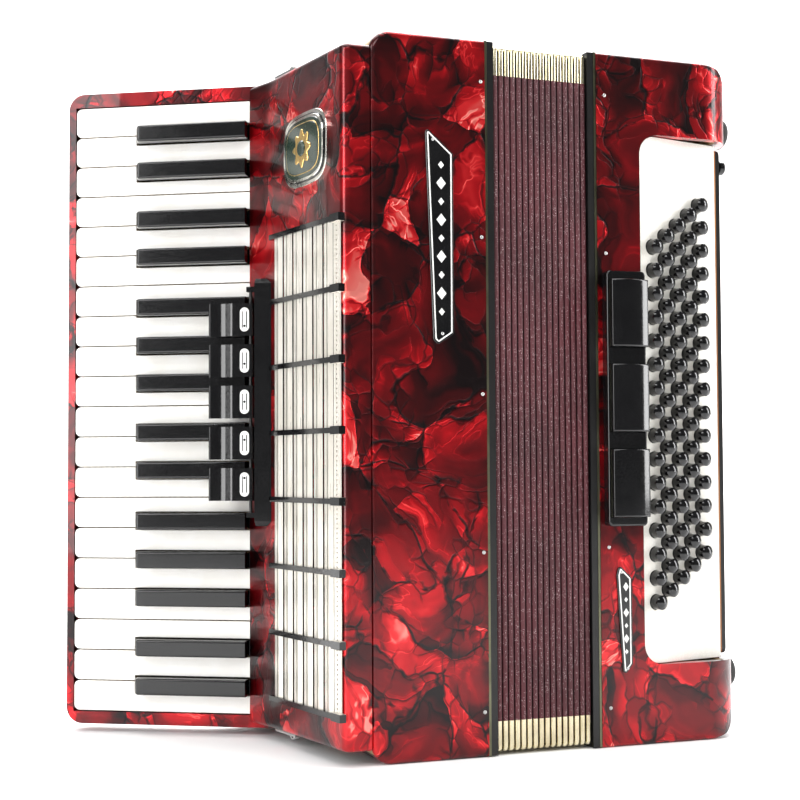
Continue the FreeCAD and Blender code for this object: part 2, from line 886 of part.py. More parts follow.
def make_bass_casing():
    """Box with rounded lobes, a slanted recess for the button board and an end recess."""
    height = dim("casing_height")
    depth = dim("casing_depth")
    wall = dim("casing_wall")
    corner = dim("bass_corner")
    outline = [
        (BASS_LEFT, 0),
        (BASS_RIGHT, 0, corner),
        (BASS_RIGHT, height, corner),
        (BASS_LEFT, height),
    ]
    body = new_body("bass_casing_box")
    add_pad(body, "XZ_Plane", 0, rounded_outline(outline), "Dims.casing_depth", reverse=True)
    add_fillet(
        body,
        dim("edge_round"),
        lambda edge: (lies_at(edge, "Y", 0) or lies_at(edge, "Y", depth))
        and not lies_at(edge, "X", BASS_LEFT),
    )
    # The end is rounded after the edges, since rounded edges that run into it leave open joins.
    end_round = dim("bass_end_round")
    swing = end_round * (1 - math.sqrt(0.5))
    beyond = 1.0
    off_corner = [
        Part.Arc(
            Vector(BASS_RIGHT - end_round, 0, 0),
            Vector(BASS_RIGHT - swing, swing, 0),
            Vector(BASS_RIGHT, end_round, 0),
        )
    ]
    around = [
        Vector(BASS_RIGHT, end_round, 0),
        Vector(BASS_RIGHT + beyond, end_round, 0),
        Vector(BASS_RIGHT + beyond, -beyond, 0),
        Vector(BASS_RIGHT - end_round, -beyond, 0),
        Vector(BASS_RIGHT - end_round, 0, 0),
    ]
    off_corner += [Part.LineSegment(*ends) for ends in zip(around, around[1:])]
    add_pocket(body, "XY_Plane", height + beyond, off_corner, height + 2 * beyond)
    cavity_corner = dim("bass_cavity_corner")
    cavity = rounded_outline(rectangle(wall, wall, depth - wall, height - wall, cavity_corner))
    add_pocket(body, "YZ_Plane", BASS_LEFT, cavity, "Dims.bass_cavity", reverse=True)
    air_bore = circle(AIR_BUTTON[0], AIR_BUTTON[1], AIR_BORE_RADIUS)
    through_end_wall = 30.0
    add_pocket(body, "YZ_Plane", BASS_RIGHT + beyond, [air_bore], through_end_wall)
    body.Placement = Placement()
    recess = plain_solid("bass_recesses", bass_recesses())
    keep(boolean_cut("bass_casing", body, recess), Placement())


def bass_recesses():
    """Recesses of the bass casing for the board and the end plate, and the plungers' opening."""
    low = dim("recess_low")
    height = dim("recess_height")
    left = BASS_LEFT + dim("recess_left")
    front = Part.Face(
        Part.Wire(
            [
                edge.toShape()
                for edge in rounded_outline(
                    [
                        (left, low, dim("recess_corner")),
                        (BASS_RIGHT + 5, low),
                        (BASS_RIGHT + 5, low + height),
                        (left, low + height, dim("recess_corner")),
                    ]
                )
            ]
        )
    )
    front.rotate(Vector(), Vector(1, 0, 0), 90)
    front.translate(Vector(0, 30, 0))
    block = front.extrude(Vector(0, -40, 0))
    seat = dim("board_thickness") + 0.1
    start = to_plan(BOARD, -5, seat)
    end = to_plan(BOARD, dim("board_length") + 0.4, seat)
    plan = [
        Vector(start[0], start[1], 0),
        Vector(end[0], end[1], 0),
        Vector(BASS_RIGHT + 10, end[1], 0),
        Vector(BASS_RIGHT + 10, -15, 0),
        Vector(start[0], -15, 0),
    ]
    wedge = Part.Face(Part.makePolygon(plan + plan[:1])).extrude(Vector(0, 0, 500))
    end_recess = Part.makeBox(
        dim("end_recess") + 5, 400, height, Vector(END_PLATE_LEFT, -50, low)
    )
    opening = Part.makeBox(
        dim("opening_right") - dim("opening_left"),
        dim("casing_wall") + 4,
        dim("opening_high") - dim("opening_low"),
        Vector(BASS_LEFT + dim("opening_left"), -2, dim("opening_low")),
    )
    return block.common(wedge).fuse(end_recess).fuse(opening)


def button_positions():
    """Middles of the bass buttons on the board: along the board, height."""
    for column in range(int(dim("button_columns"))):
        x = dim("button_first_x") + dim("column_pitch") * column
        for row_number in range(int(dim("button_rows"))):
            rise = dim("button_pitch") * (row_number + column / 2)
            yield x, dim("button_first_z") + rise


def make_button_board():
    """Slanted board with a hole for each bass button."""
    low = dim("recess_low") + 0.4
    high = dim("recess_low") + dim("recess_height") - 0.4
    corner = dim("recess_corner") - 0.4
    length = dim("board_length")
    outline = [(0.3, low, corner), (length, low), (length, high), (0.3, high, corner)]
    body = new_body("button_board", BOARD)
    add_pad(body, "XZ_Plane", 0, rounded_outline(outline), "Dims.board_thickness", reverse=True)
    holes = [circle(x, z, dim("button_hole_radius")) for x, z in button_positions()]
    add_pocket(body, "XZ_Plane", 1, holes, "Dims.board_thickness + 2")
    keep(body)


def make_bass_buttons():
    """Domed buttons on thin plungers, all alike, in one group."""
    radius = dim("button_radius")
    top = -dim("button_height")
    crown = 1.8
    shoulder = top + crown
    dome_radius = (radius**2 + crown**2) / (2 * crown)
    half_angle = math.asin(radius / dome_radius) / 2
    dome_middle = Vector(
        dome_radius * math.sin(half_angle), top + dome_radius * (1 - math.cos(half_angle)), 0
    )
    shaft = 1.6
    head_end = 8.0
    shaft_end = 18.0
    profile = [
        Part.LineSegment(Vector(0, shaft_end, 0), Vector(shaft, shaft_end, 0)),
        Part.LineSegment(Vector(shaft, shaft_end, 0), Vector(shaft, head_end, 0)),
        Part.LineSegment(Vector(shaft, head_end, 0), Vector(radius, head_end, 0)),
        Part.LineSegment(Vector(radius, head_end, 0), Vector(radius, shoulder, 0)),
        Part.Arc(Vector(radius, shoulder, 0), dome_middle, Vector(0, top, 0)),
        Part.LineSegment(Vector(0, top, 0), Vector(0, shaft_end, 0)),
    ]
    body = new_body("bass_button_form")
    sketch = new_sketch(body, "XY_Plane", 0, profile)
    turned = body.newObject("PartDesign::Revolution", "bass_button_turned")
    turned.Profile = sketch
    turned.ReferenceAxis = (sketch, ["V_Axis"])
    turned.Angle = 360
    body.Placement = Placement()
    doc.recompute()
    copies = []
    for x, z in button_positions():
        copy = body.Shape.copy()
        copy.translate(Vector(x, 0, z))
        copies.append(copy)
    keep(plain_solid("bass_buttons", Part.makeCompound(copies)), BOARD)


def make_end_plate():
    """Vented plate over the bass mechanism, in the end recess."""
    low = dim("recess_low") + 2
    high = dim("recess_low") + dim("recess_height") - 2
    front = to_plan(BOARD, dim("board_length"), dim("board_thickness"))[1] - 1.5
    back = dim("casing_depth") - 12
    body = new_body("bass_end_plate")
    outline = rounded_outline(rectangle(front, low, back, high, 4.0))
    start = END_PLATE_LEFT + 0.1
    add_pad(body, "YZ_Plane", start, outline, "Dims.end_plate_thickness")
    vents = []
    for number in range(12):
        height = 76.0 + 22.0 * number
        vents += rounded_outline(rectangle(150, height, 170, height + 6, 2.9))
    vents.append(circle(AIR_BUTTON[0], AIR_BUTTON[1], AIR_BORE_RADIUS))
    far_side = start + dim("end_plate_thickness") + 1
    add_pocket(body, "YZ_Plane", far_side, vents, "Dims.end_plate_thickness + 2")
    keep(body)


def make_bass_strap():
    """Hand strap: a band that arches over the end plate, fixed flat at both ends."""
    thickness = 3.2
    width = 62.0
    base = END_PLATE_LEFT + dim("end_plate_thickness") + 0.3
    crown = 24.0
    middle = dim("casing_height") / 2
    reach = 132.0
    tab = 16.0
    ends = [Vector(base, middle - reach, 0), Vector(base, middle + reach, 0)]
    outer = [point + Vector(thickness, 0, 0) for point in ends]
    low_tab = Vector(0, -tab, 0)
    high_tab = Vector(0, tab, 0)
    geometry = [
        Part.Arc(ends[0], Vector(base + crown, middle, 0), ends[1]),
        Part.LineSegment(ends[1], ends[1] + high_tab),
        Part.LineSegment(ends[1] + high_tab, outer[1] + high_tab),
        Part.LineSegment(outer[1] + high_tab, outer[1]),
        Part.Arc(outer[1], Vector(base + crown + thickness, middle, 0), outer[0]),
        Part.LineSegment(outer[0], outer[0] + low_tab),
        Part.LineSegment(outer[0] + low_tab, ends[0] + low_tab),
        Part.LineSegment(ends[0] + low_tab, ends[0]),
    ]
    body = new_body("bass_strap")
    add_pad(body, "XZ_Plane", -70, geometry, width, reverse=True)
    keep(body)


def make_feet():
    """Four rubber feet on the lobes of the bass casing's end face."""
    radius = 9.7
    length = 8.0
    feet = []
    for height in (35.0, dim("casing_height") - 35.0):
        for across in (30.5, dim("casing_depth") - 24.0):
            centre = Vector(BASS_RIGHT, across, height)
            foot = Part.makeCylinder(radius, length, centre, Vector(1, 0, 0))
            rim = [edge for edge in foot.Edges if lies_at(edge, "X", BASS_RIGHT + length)]
            feet.append(foot.makeFillet(3.5, rim))
    keep(plain_solid("rubber_feet", Part.makeCompound(feet)), Placement())


def make_air_button():
    """Air button: a domed cap on a plunger through the end plate."""
    face = END_PLATE_LEFT + dim("end_plate_thickness")
    across, height = AIR_BUTTON
    axis = Vector(1, 0, 0)
    cap = Part.makeCylinder(4.4, 4.2, Vector(face + 2.6, across, height), axis)
    rim = [edge for edge in cap.Edges if lies_at(edge, "X", face + 6.8)]
    cap = cap.makeFillet(1.8, rim)
    plunger = Part.makeCylinder(3.0, 16.0, Vector(face - 12, across, height), axis)
    keep(plain_solid("air_button", cap.fuse(plunger).removeSplitter()), Placement())


def cap_middle(number):
    """Middle height of a bass register key, counted from the upper end."""
    return dim("register_middle_z") + dim("cap_pitch") * ((dim("cap_count") - 1) / 2 - number)


def make_bass_registers():
    """Housing with a well for each register key, and the keys that slide in them."""
    left = BASS_LEFT + dim("housing_inset")
    right = left + dim("housing_width")
    low = dim("register_middle_z") - dim("housing_height") / 2
    high = low + dim("housing_height")
    housing_depth = 6.0
    well_depth = 5.0
    body = new_body("bass_register_housing")
    outline = rounded_outline(rectangle(left, low, right, high, 2.5))
    add_pad(body, "XZ_Plane", 0.05, outline, housing_depth)
    add_fillet(body, 1.2, lambda edge: lies_at(edge, "Y", -housing_depth - 0.05))
    cap_left = (left + right - dim("cap_width")) / 2
    cap_right = cap_left + dim("cap_width")
    clearance = dim("cap_clearance")
    wells = []
    for number in range(int(dim("cap_count"))):
        middle = cap_middle(number)
        half = dim("cap_height") / 2
        wells += rounded_outline(
            rectangle(
                cap_left - clearance,
                middle - half - clearance,
                cap_right + clearance,
                middle + half + clearance,
                1.0,
            )
        )
    add_pocket(body, "XZ_Plane", housing_depth + 0.05, wells, well_depth)
    keep(body)
    for number in range(int(dim("cap_count"))):
        make_bass_register(number, cap_left, cap_right)


def make_bass_register(number, cap_left, cap_right):
    """One register key: a block with a crowned top."""
    middle = cap_middle(number)
    half = dim("cap_height") / 2
    body = new_body(f"bass_register_{number + 1}")
    top = -13.0
    shoulder = -10.4
    base = -4.4
    centre = (cap_left + cap_right) / 2
    geometry = [
        Part.LineSegment(Vector(cap_left, base, 0), Vector(cap_right, base, 0)),
        Part.LineSegment(Vector(cap_right, base, 0), Vector(cap_right, shoulder, 0)),
        Part.Arc(Vector(cap_right, shoulder, 0), Vector(centre, top, 0), Vector(cap_left, shoulder, 0)),
        Part.LineSegment(Vector(cap_left, shoulder, 0), Vector(cap_left, base, 0)),
    ]
    add_pad(body, "XY_Plane", middle - half, geometry, "Dims.cap_height")
    add_fillet(
        body,
        1.0,
        lambda edge: (
            (lies_at(edge, "Z", middle - half) or lies_at(edge, "Z", middle + half))
            and edge.BoundBox.YMin < shoulder - 0.5
        )
        or (lies_at(edge, "Y", shoulder) and edge.BoundBox.ZLength > 1),
    )
    keep(body)


# ---------------------------------------------------------------- assembly


def check_and_export():
    """Recompute, check every object, then write one STEP file for each sub-part."""
    doc.recompute()
    for item in doc.Objects:
        if "Invalid" in item.State or "Error" in item.State:
            raise RuntimeError(f"{item.Label} failed to recompute: {item.State}")
    whole = FreeCAD.BoundBox()
    for item in nodes:
        if item.Shape.isNull() or not item.Shape.isValid():
            raise RuntimeError(f"{item.Label} has no valid shape")
        whole.add(item.Shape.BoundBox)
    print("sub-parts", len(nodes))
    print("box", whole)
    os.makedirs("parts", exist_ok=True)
    for item in nodes:
        item.Shape.exportStep(f"parts/{item.Label}.step")


make_treble_casing()
make_grille_cover()
make_grille_slats()
make_keyboard_bed()
make_reed_blocks()
make_register_housing()
make_treble_registers()
make_keys()
make_bellows()
make_bass_casing()
make_button_board()
make_bass_buttons()
make_end_plate()
make_bass_strap()
make_feet()
make_air_button()
make_bass_registers()
check_and_export()
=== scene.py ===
"""Looks of a piano accordion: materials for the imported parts, bellows, strap and trim."""

import math

import bmesh
import bpy
from mathutils import Matrix, Vector


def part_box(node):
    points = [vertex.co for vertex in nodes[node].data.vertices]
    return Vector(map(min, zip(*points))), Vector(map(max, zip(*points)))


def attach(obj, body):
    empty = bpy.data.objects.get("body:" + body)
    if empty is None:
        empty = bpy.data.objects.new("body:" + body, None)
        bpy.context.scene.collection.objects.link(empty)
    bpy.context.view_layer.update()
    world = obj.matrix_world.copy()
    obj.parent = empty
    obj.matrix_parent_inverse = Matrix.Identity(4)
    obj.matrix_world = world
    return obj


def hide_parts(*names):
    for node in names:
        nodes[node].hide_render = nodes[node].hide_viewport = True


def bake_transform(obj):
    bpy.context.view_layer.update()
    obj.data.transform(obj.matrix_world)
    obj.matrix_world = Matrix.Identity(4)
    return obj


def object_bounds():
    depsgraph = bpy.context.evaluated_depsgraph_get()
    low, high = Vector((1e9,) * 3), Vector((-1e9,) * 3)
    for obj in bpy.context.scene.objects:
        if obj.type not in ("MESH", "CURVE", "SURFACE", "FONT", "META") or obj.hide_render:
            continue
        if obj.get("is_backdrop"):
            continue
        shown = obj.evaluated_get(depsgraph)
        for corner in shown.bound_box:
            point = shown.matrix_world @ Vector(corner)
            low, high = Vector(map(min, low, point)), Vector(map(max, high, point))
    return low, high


MM = 0.001
HALF = (0.5, 0.5, 0.5)
CASING_DEPTH = 190.0
CASING_HEIGHT = 400.0
TREBLE_WIDTH = 68.5
# A little less than the casings' wall, to tell their inner faces from their outer ones.
WALL_LIMIT = 5.9
# Where the grille's crossbars and slats start on its wall, and how far apart they are.
BAR_START, BAR_PITCH = 26.7, 38.36
SLAT_START, SLAT_PITCH = 9.9, 12.6
# Where the camera looks: turned from the front, up, and tilted.
YAW, CLIMB, ROLL = math.radians(20.866), math.radians(2.535), math.radians(-0.273)

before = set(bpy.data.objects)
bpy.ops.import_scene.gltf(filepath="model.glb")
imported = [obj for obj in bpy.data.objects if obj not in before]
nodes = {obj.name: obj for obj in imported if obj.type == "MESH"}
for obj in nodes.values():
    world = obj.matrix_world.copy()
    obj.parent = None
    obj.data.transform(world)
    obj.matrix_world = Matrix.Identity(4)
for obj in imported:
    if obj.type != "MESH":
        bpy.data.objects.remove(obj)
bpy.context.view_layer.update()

# Plan coordinates, as in the CAD source: x from the seam beside the treble casing, y from the
# front face, z from the lower end, in millimetres.
PLAN = Vector((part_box("treble_casing")[1].x - TREBLE_WIDTH * MM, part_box("bass_casing")[0].y, 0))


def plan(x, y, z):
    """A point of the plan, in the row frame, in metres."""
    return PLAN + Vector((x, y, z)) * MM


def frame_at(x, y, degrees):
    """An upright frame of the plan, turned about Z."""
    return Matrix.Translation(plan(x, y, 0)) @ Matrix.Rotation(math.radians(degrees), 4, "Z")


KEYBOARD = frame_at(-36.3, 114.1, 149.0)
GRILLE = frame_at(-15.5, 0.0, 99.24)
FRONT = Matrix.Translation(plan(0, 0, 0))


# ---------------------------------------------------------------- materials


class Nodes:
    """Short names for building a node tree."""

    def __init__(self, name):
        self.material = bpy.data.materials.new(name)
        self.material.use_nodes = True
        self.tree = self.material.node_tree
        self.shader = self.tree.nodes["Principled BSDF"]
        self.place = self.tree.nodes.new("ShaderNodeTexCoord").outputs["Object"]

    def add(self, kind, inputs=None, **settings):
        node = self.tree.nodes.new(kind)
        for key, value in settings.items():
            setattr(node, key, value)
        for key, value in (inputs or {}).items():
            self.put(node.inputs[key], value)
        return node

    def put(self, socket, value):
        if isinstance(value, bpy.types.NodeSocket):
            self.tree.links.new(value, socket)
        else:
            socket.default_value = value

    def set(self, **values):
        for key, value in values.items():
            self.put(self.shader.inputs[key.replace("_", " ")], value)

    def noise(self, scale, detail=2.0, roughness=0.5, vector=None, distortion=0.0):
        return self.add(
            "ShaderNodeTexNoise",
            {
                "Vector": vector or self.place,
                "Scale": scale,
                "Detail": detail,
                "Roughness": roughness,
                "Distortion": distortion,
            },
        )

    def math(self, operation, first, second=0.5):
        node = self.add("ShaderNodeMath", operation=operation)
        self.put(node.inputs[0], first)
        self.put(node.inputs[1], second)
        return node.outputs[0]

    def vector_math(self, operation, first, second, output="Vector"):
        node = self.add("ShaderNodeVectorMath", operation=operation)
        self.put(node.inputs[0], first)
        self.put(node.inputs[1], second)
        return node.outputs[output]

    def span(self, value, low, high, new_low=0.0, new_high=1.0):
        node = self.add("ShaderNodeMapRange", clamp=True)
        for key, number in zip(range(5), (value, low, high, new_low, new_high)):
            self.put(node.inputs[key], number)
        return node.outputs[0]

    def ramp(self, value, stops):
        node = self.add("ShaderNodeValToRGB", {"Fac": value})
        elements = node.color_ramp.elements
        while len(elements) < len(stops):
            elements.new(0.5)
        for element, (position, colour) in zip(elements, stops):
            element.position = position
            element.color = (*colour, 1.0)
        return node.outputs["Color"]

    def mix(self, factor, first, second):
        """Between two colours; the node's colour sockets are the ones numbered 6, 7 and 2."""
        node = self.add("ShaderNodeMix", data_type="RGBA")
        self.put(node.inputs[0], factor)
        for number, colour in ((6, first), (7, second)):
            is_socket = isinstance(colour, bpy.types.NodeSocket)
            self.put(node.inputs[number], colour if is_socket else (*colour, 1))
        return node.outputs[2]

    def bump(self, height, strength, distance):
        node = self.add(
            "ShaderNodeBump", {"Height": height, "Strength": strength, "Distance": distance}
        )
        self.set(Normal=node.outputs["Normal"])


def flake_layer(m, place, scale, reach):
    """Torn flakes of one size: a painted satin sheen sloping across each, its shade and its edges.
    """
    flakes = m.add("ShaderNodeTexVoronoi", {"Vector": place, "Scale": scale}, feature="F1")
    edges = m.add(
        "ShaderNodeTexVoronoi", {"Vector": place, "Scale": scale}, feature="DISTANCE_TO_EDGE"
    )
    # Each flake runs from bright to dark across a direction of its own: a painted sheen, as light
    # falls on a satin fold.
    lean = m.vector_math("SUBTRACT", flakes.outputs["Color"], HALF)
    away = m.vector_math("SUBTRACT", place, flakes.outputs["Position"])
    painted_sheen_slope = m.span(m.vector_math("DOT_PRODUCT", away, lean, "Value"), -reach, reach)
    shade = m.add("ShaderNodeSeparateColor", {"Color": flakes.outputs["Color"]}).outputs["Red"]
    return painted_sheen_slope, shade, edges.outputs["Distance"]


def pearl_celluloid():
    """Red pearl celluloid: large satin folds, crumpled at their dark creases, under a gloss; the
    folds' sheen and highlights are painted into its colour.
    """
    m = Nodes("red_pearl_celluloid")
    # Two sizes of warp give the flakes torn, swirling outlines.
    broad = m.noise(12.0, 2.0, 0.5).outputs["Color"]
    fine = m.noise(70.0, 2.0, 0.5).outputs["Color"]
    broad = m.vector_math("MULTIPLY", m.vector_math("SUBTRACT", broad, HALF), (0.095,) * 3)
    fine = m.vector_math("MULTIPLY", m.vector_math("SUBTRACT", fine, HALF), (0.009,) * 3)
    place = m.vector_math("ADD", m.place, m.vector_math("ADD", broad, fine))
    painted_sheen_slope, shade, edge = flake_layer(m, place, 25.0, 0.0105)
    small_painted_sheen_slope, small_shade, small_edge = flake_layer(m, place, 78.0, 0.0034)
    # Small crumples gather along the edges of the large flakes, with a painted sheen sloping across
    # each.
    crumple = m.span(edge, 0.04, 0.26, 1.0, 0.0)
    small = m.math("MULTIPLY", small_painted_sheen_slope, 0.7)
    small = m.math("ADD", small, m.math("MULTIPLY", small_shade, 0.3))
    small = m.math("MULTIPLY", m.math("SUBTRACT", small, 0.5), crumple)
    # Narrow folds along the flakes: the sharp middle of a warped noise band, lightened where the
    # flakes are bright as a painted highlight.
    band = m.noise(24.0, 2.0, 0.5, place, 2.4).outputs["Fac"]
    fold = m.math("ABSOLUTE", m.math("SUBTRACT", band, 0.5))
    painted_fold_glint = m.span(fold, 0.0, 0.030, 1.0, 0.0)
    soft = m.noise(30.0, 2.0, 0.45, place, 1.2).outputs["Fac"]
    tone = m.math("MULTIPLY", painted_sheen_slope, 0.36)
    tone = m.math("ADD", tone, m.math("MULTIPLY", shade, 0.16))
    tone = m.math("ADD", tone, m.math("MULTIPLY", soft, 0.46))
    tone = m.math("ADD", tone, m.math("MULTIPLY", small, 0.34))
    painted_highlight = m.math("MULTIPLY", painted_fold_glint, m.span(tone, 0.45, 0.75))
    tone = m.math("ADD", tone, m.math("MULTIPLY", painted_highlight, 0.22))
    torn = m.span(m.noise(110.0, 2.0, 0.5).outputs["Fac"], 0.40, 0.58)
    crease = m.math("MAXIMUM", m.span(edge, 0.0, 0.030), torn)
    small_crease = m.math("MAXIMUM", m.span(small_edge, 0.0, 0.070), m.span(edge, 0.05, 0.20))
    tone = m.math("MULTIPLY", tone, m.math("ADD", m.math("MULTIPLY", crease, 0.65), 0.35))
    tone = m.math("MULTIPLY", tone, m.math("ADD", m.math("MULTIPLY", small_crease, 0.30), 0.70))
    colour = m.ramp(
        tone,
        [
            (0.20, (0.004, 0.0, 0.0005)),
            (0.36, (0.055, 0.0004, 0.0015)),
            (0.50, (0.190, 0.0012, 0.004)),
            (0.62, (0.480, 0.003, 0.008)),
            (0.74, (0.820, 0.026, 0.030)),
            (0.88, (0.980, 0.260, 0.220)),
        ],
    )
    m.set(Base_Color=colour, Metallic=0.72, Roughness=0.32, Coat_Weight=0.4, Coat_Roughness=0.02)
    m.bump(tone, 0.35, 0.0022)
    return m.material


def gloss_plastic(name, colour, other, roughness, scratches=0.02, coat=0.35):
    """Moulded plastic with faint clouds of colour and fine wear in its gloss."""
    m = Nodes(name)
    cloud = m.noise(60.0, 3.0).outputs["Fac"]
    m.set(Base_Color=m.mix(m.span(cloud, 0.35, 0.65), colour, other))
    wear = m.noise(900.0, 3.0, 0.6).outputs["Fac"]
    m.set(Roughness=m.span(wear, 0.35, 0.75, roughness, roughness + 0.10))
    m.set(Coat_Weight=coat, Coat_Roughness=0.04)
    m.bump(m.noise(260.0, 2.0).outputs["Fac"], scratches, 0.0006)
    return m.material


def metal(name, colour, other, roughness):
    """Plated or polished metal with fine brushing and dull spots."""
    m = Nodes(name)
    lines = m.vector_math("MULTIPLY", m.place, (1.0, 1.0, 0.06))
    grain = m.noise(420.0, 3.0, 0.6, lines).outputs["Fac"]
    spots = m.noise(70.0, 3.0).outputs["Fac"]
    m.set(Base_Color=m.mix(m.span(spots, 0.45, 0.75), colour, other), Metallic=1.0)
    m.set(Roughness=m.span(grain, 0.3, 0.7, roughness, roughness + 0.12))
    m.bump(grain, 0.05, 0.0004)
    return m.material


def satin(name, colour, other, roughness):
    """Anodised metal strip: a pale colour with a part-metallic shine and fine lines along it."""
    m = Nodes(name)
    lines = m.vector_math("MULTIPLY", m.place, (1.0, 1.0, 0.05))
    grain = m.noise(520.0, 3.0, 0.6, lines).outputs["Fac"]
    cloud = m.noise(34.0, 3.0).outputs["Fac"]
    m.set(Base_Color=m.mix(m.span(cloud, 0.35, 0.7), colour, other), Metallic=0.4)
    m.set(Roughness=m.span(grain, 0.3, 0.7, roughness, roughness + 0.14))
    m.set(Coat_Weight=0.4, Coat_Roughness=0.08)
    m.bump(grain, 0.05, 0.0004)
    return m.material


def leather(name, colour, other, roughness=0.45, scale=520.0, strength=0.45):
    """Leather or leather cloth with a pebbled grain."""
    m = Nodes(name)
    grain = m.add("ShaderNodeTexVoronoi", {"Vector": m.place, "Scale": scale})
    height = m.span(grain.outputs["Distance"], 0.0, 0.6)
    cloud = m.noise(45.0, 3.0).outputs["Fac"]
    m.set(Base_Color=m.mix(m.span(cloud, 0.35, 0.7), colour, other))
    m.set(Roughness=m.span(height, 0.0, 1.0, roughness + 0.15, roughness))
    m.bump(m.math("SUBTRACT", 1.0, height), strength, 0.0004)
    return m.material


def bellows_cloth(name, low, high):
    """Maroon bellows cloth with the pale specks of its weave, over a share of its surface."""
    m = Nodes(name)
    weave = m.add("ShaderNodeTexVoronoi", {"Vector": m.place, "Scale": 1300.0})
    speck = m.span(weave.outputs["Distance"], 0.16, 0.30, 1.0, 0.0)
    patch = m.noise(420.0, 2.0).outputs["Fac"]
    speck = m.math("MULTIPLY", speck, m.span(patch, low, high))
    cloud = m.noise(28.0, 3.0).outputs["Fac"]
    base = m.mix(m.span(cloud, 0.3, 0.7), (0.050, 0.007, 0.011), (0.085, 0.013, 0.019))
    m.set(Base_Color=m.mix(speck, base, (0.62, 0.50, 0.50)))
    m.set(Roughness=m.span(speck, 0.0, 1.0, 0.62, 0.42))
    m.bump(weave.outputs["Distance"], 0.4, 0.0003)
    return m.material


def wood(name, light, dark):
    """Planed wood with growth rings along its length."""
    m = Nodes(name)
    along = m.vector_math("MULTIPLY", m.place, (1.0, 1.0, 0.08))
    rings = m.add(
        "ShaderNodeTexWave",
        {"Vector": along, "Scale": 90.0, "Distortion": 5.0, "Detail": 3.0, "Detail Scale": 1.5},
    )
    m.set(Base_Color=m.mix(rings.outputs["Fac"], light, dark), Roughness=0.5)
    m.bump(rings.outputs["Fac"], 0.1, 0.0004)
    return m.material


RED = pearl_celluloid()
IVORY_KEY = gloss_plastic("white_key_plastic", (0.90, 0.89, 0.86), (0.86, 0.84, 0.79), 0.14)
IVORY_BOARD = gloss_plastic("ivory_board", (0.84, 0.82, 0.76), (0.80, 0.77, 0.70), 0.22)
BLACK = gloss_plastic(
    "black_gloss", (0.0025, 0.0025, 0.003), (0.005, 0.005, 0.0055), 0.08, 0.006, 0.15
)
BLACK_DULL = gloss_plastic(
    "black_satin", (0.003, 0.003, 0.003), (0.006, 0.0055, 0.0055), 0.30, 0.01, 0.0
)
CHROME = metal("badge_chrome", (0.86, 0.84, 0.78), (0.68, 0.66, 0.58), 0.10)
SLAT = satin("grille_slat", (0.80, 0.76, 0.69), (0.70, 0.66, 0.58), 0.24)
SLAT_LINE = metal("grille_olive", (0.17, 0.17, 0.11), (0.11, 0.11, 0.07), 0.25)
NICKEL = metal("bellows_corner_metal", (0.78, 0.71, 0.50), (0.55, 0.47, 0.30), 0.20)
STEEL = metal("bright_steel", (0.56, 0.56, 0.55), (0.42, 0.42, 0.41), 0.28)
GOLD = metal("gold_trim", (0.85, 0.58, 0.22), (0.66, 0.42, 0.14), 0.20)
BELLOWS = bellows_cloth("bellows_cloth", 0.50, 0.66)
# The crests' cloth has more of the pale weave specks: a painted highlight along each ridge's crest.
BELLOWS_CREST_HIGHLIGHT = bellows_cloth("bellows_crest_painted_highlight", 0.20, 0.42)
GUSSET = leather("bellows_gusset", (0.012, 0.008, 0.008), (0.024, 0.012, 0.012), 0.6)
STRAP = leather("strap_leather", (0.016, 0.014, 0.013), (0.032, 0.026, 0.023))
THREAD = leather("strap_thread", (0.42, 0.39, 0.34), (0.32, 0.29, 0.25), 0.7, 2400.0, 0.3)
RUBBER = leather("foot_rubber", (0.014, 0.014, 0.014), (0.026, 0.025, 0.024), 0.6, 900.0, 0.2)
SPRUCE = wood("spruce", (0.52, 0.36, 0.20), (0.34, 0.20, 0.09))
BEECH = wood("beech_edge", (0.50, 0.22, 0.07), (0.33, 0.12, 0.03))
WHITE_PAINT = gloss_plastic("white_paint", (0.86, 0.86, 0.84), (0.78, 0.78, 0.75), 0.25)
DIAL = gloss_plastic("badge_face", (0.010, 0.022, 0.016), (0.020, 0.038, 0.026), 0.10)


def dress(name, *materials):
    """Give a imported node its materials; the first covers all of it."""
    mesh = nodes[name].data
    mesh.materials.clear()
    for material in materials:
        mesh.materials.append(material)
    mesh.polygons.foreach_set("material_index", [0] * len(mesh.polygons))
    return mesh


def dress_faces(mesh, choose, into=None):
    """Set each face's material from its middle and normal, in a local frame."""
    inverse = into.inverted() if into else Matrix.Identity(4)
    turn = inverse.to_3x3()
    for face in mesh.polygons:
        face.material_index = choose(inverse @ face.center / MM, turn @ face.normal)


for name in nodes:
    if name.startswith("white_key"):
        lever = dress(name, IVORY_KEY, SPRUCE)
        dress_faces(lever, lambda p, n: 1 if p.x < -3 or p.y < -2.6 else 0, KEYBOARD)
    elif name.startswith("black_key"):
        lever = dress(name, BLACK, SPRUCE)
        dress_faces(lever, lambda p, n: 1 if p.x < -2 else 0, KEYBOARD)
    elif name.startswith(("treble_register_", "bass_register_")):
        dress(name, BLACK)

packed_looks = {
    "treble_casing": (RED, SPRUCE, STEEL),
    "keyboard_bed": (RED, SPRUCE, STEEL),
    "grille_cover": (RED, BLACK_DULL),
    "grille_slats": (SLAT, BLACK),
    "bass_casing": (RED, SPRUCE),
    "register_housing": (BLACK,),
    "bass_register_housing": (BLACK,),
    "bass_buttons": (BLACK,),
    "air_button": (BLACK,),
    "bass_end_plate": (BLACK_DULL,),
    "button_board": (IVORY_BOARD,),
    "rubber_feet": (RUBBER,),
    "treble_bellows_frame": (BLACK_DULL,),
    "bass_bellows_frame": (BLACK_DULL,),
    "treble_reed_blocks": (SPRUCE, STEEL),
    "bass_reed_blocks": (SPRUCE, STEEL),
}
for name, materials in packed_looks.items():
    dress(name, *materials)


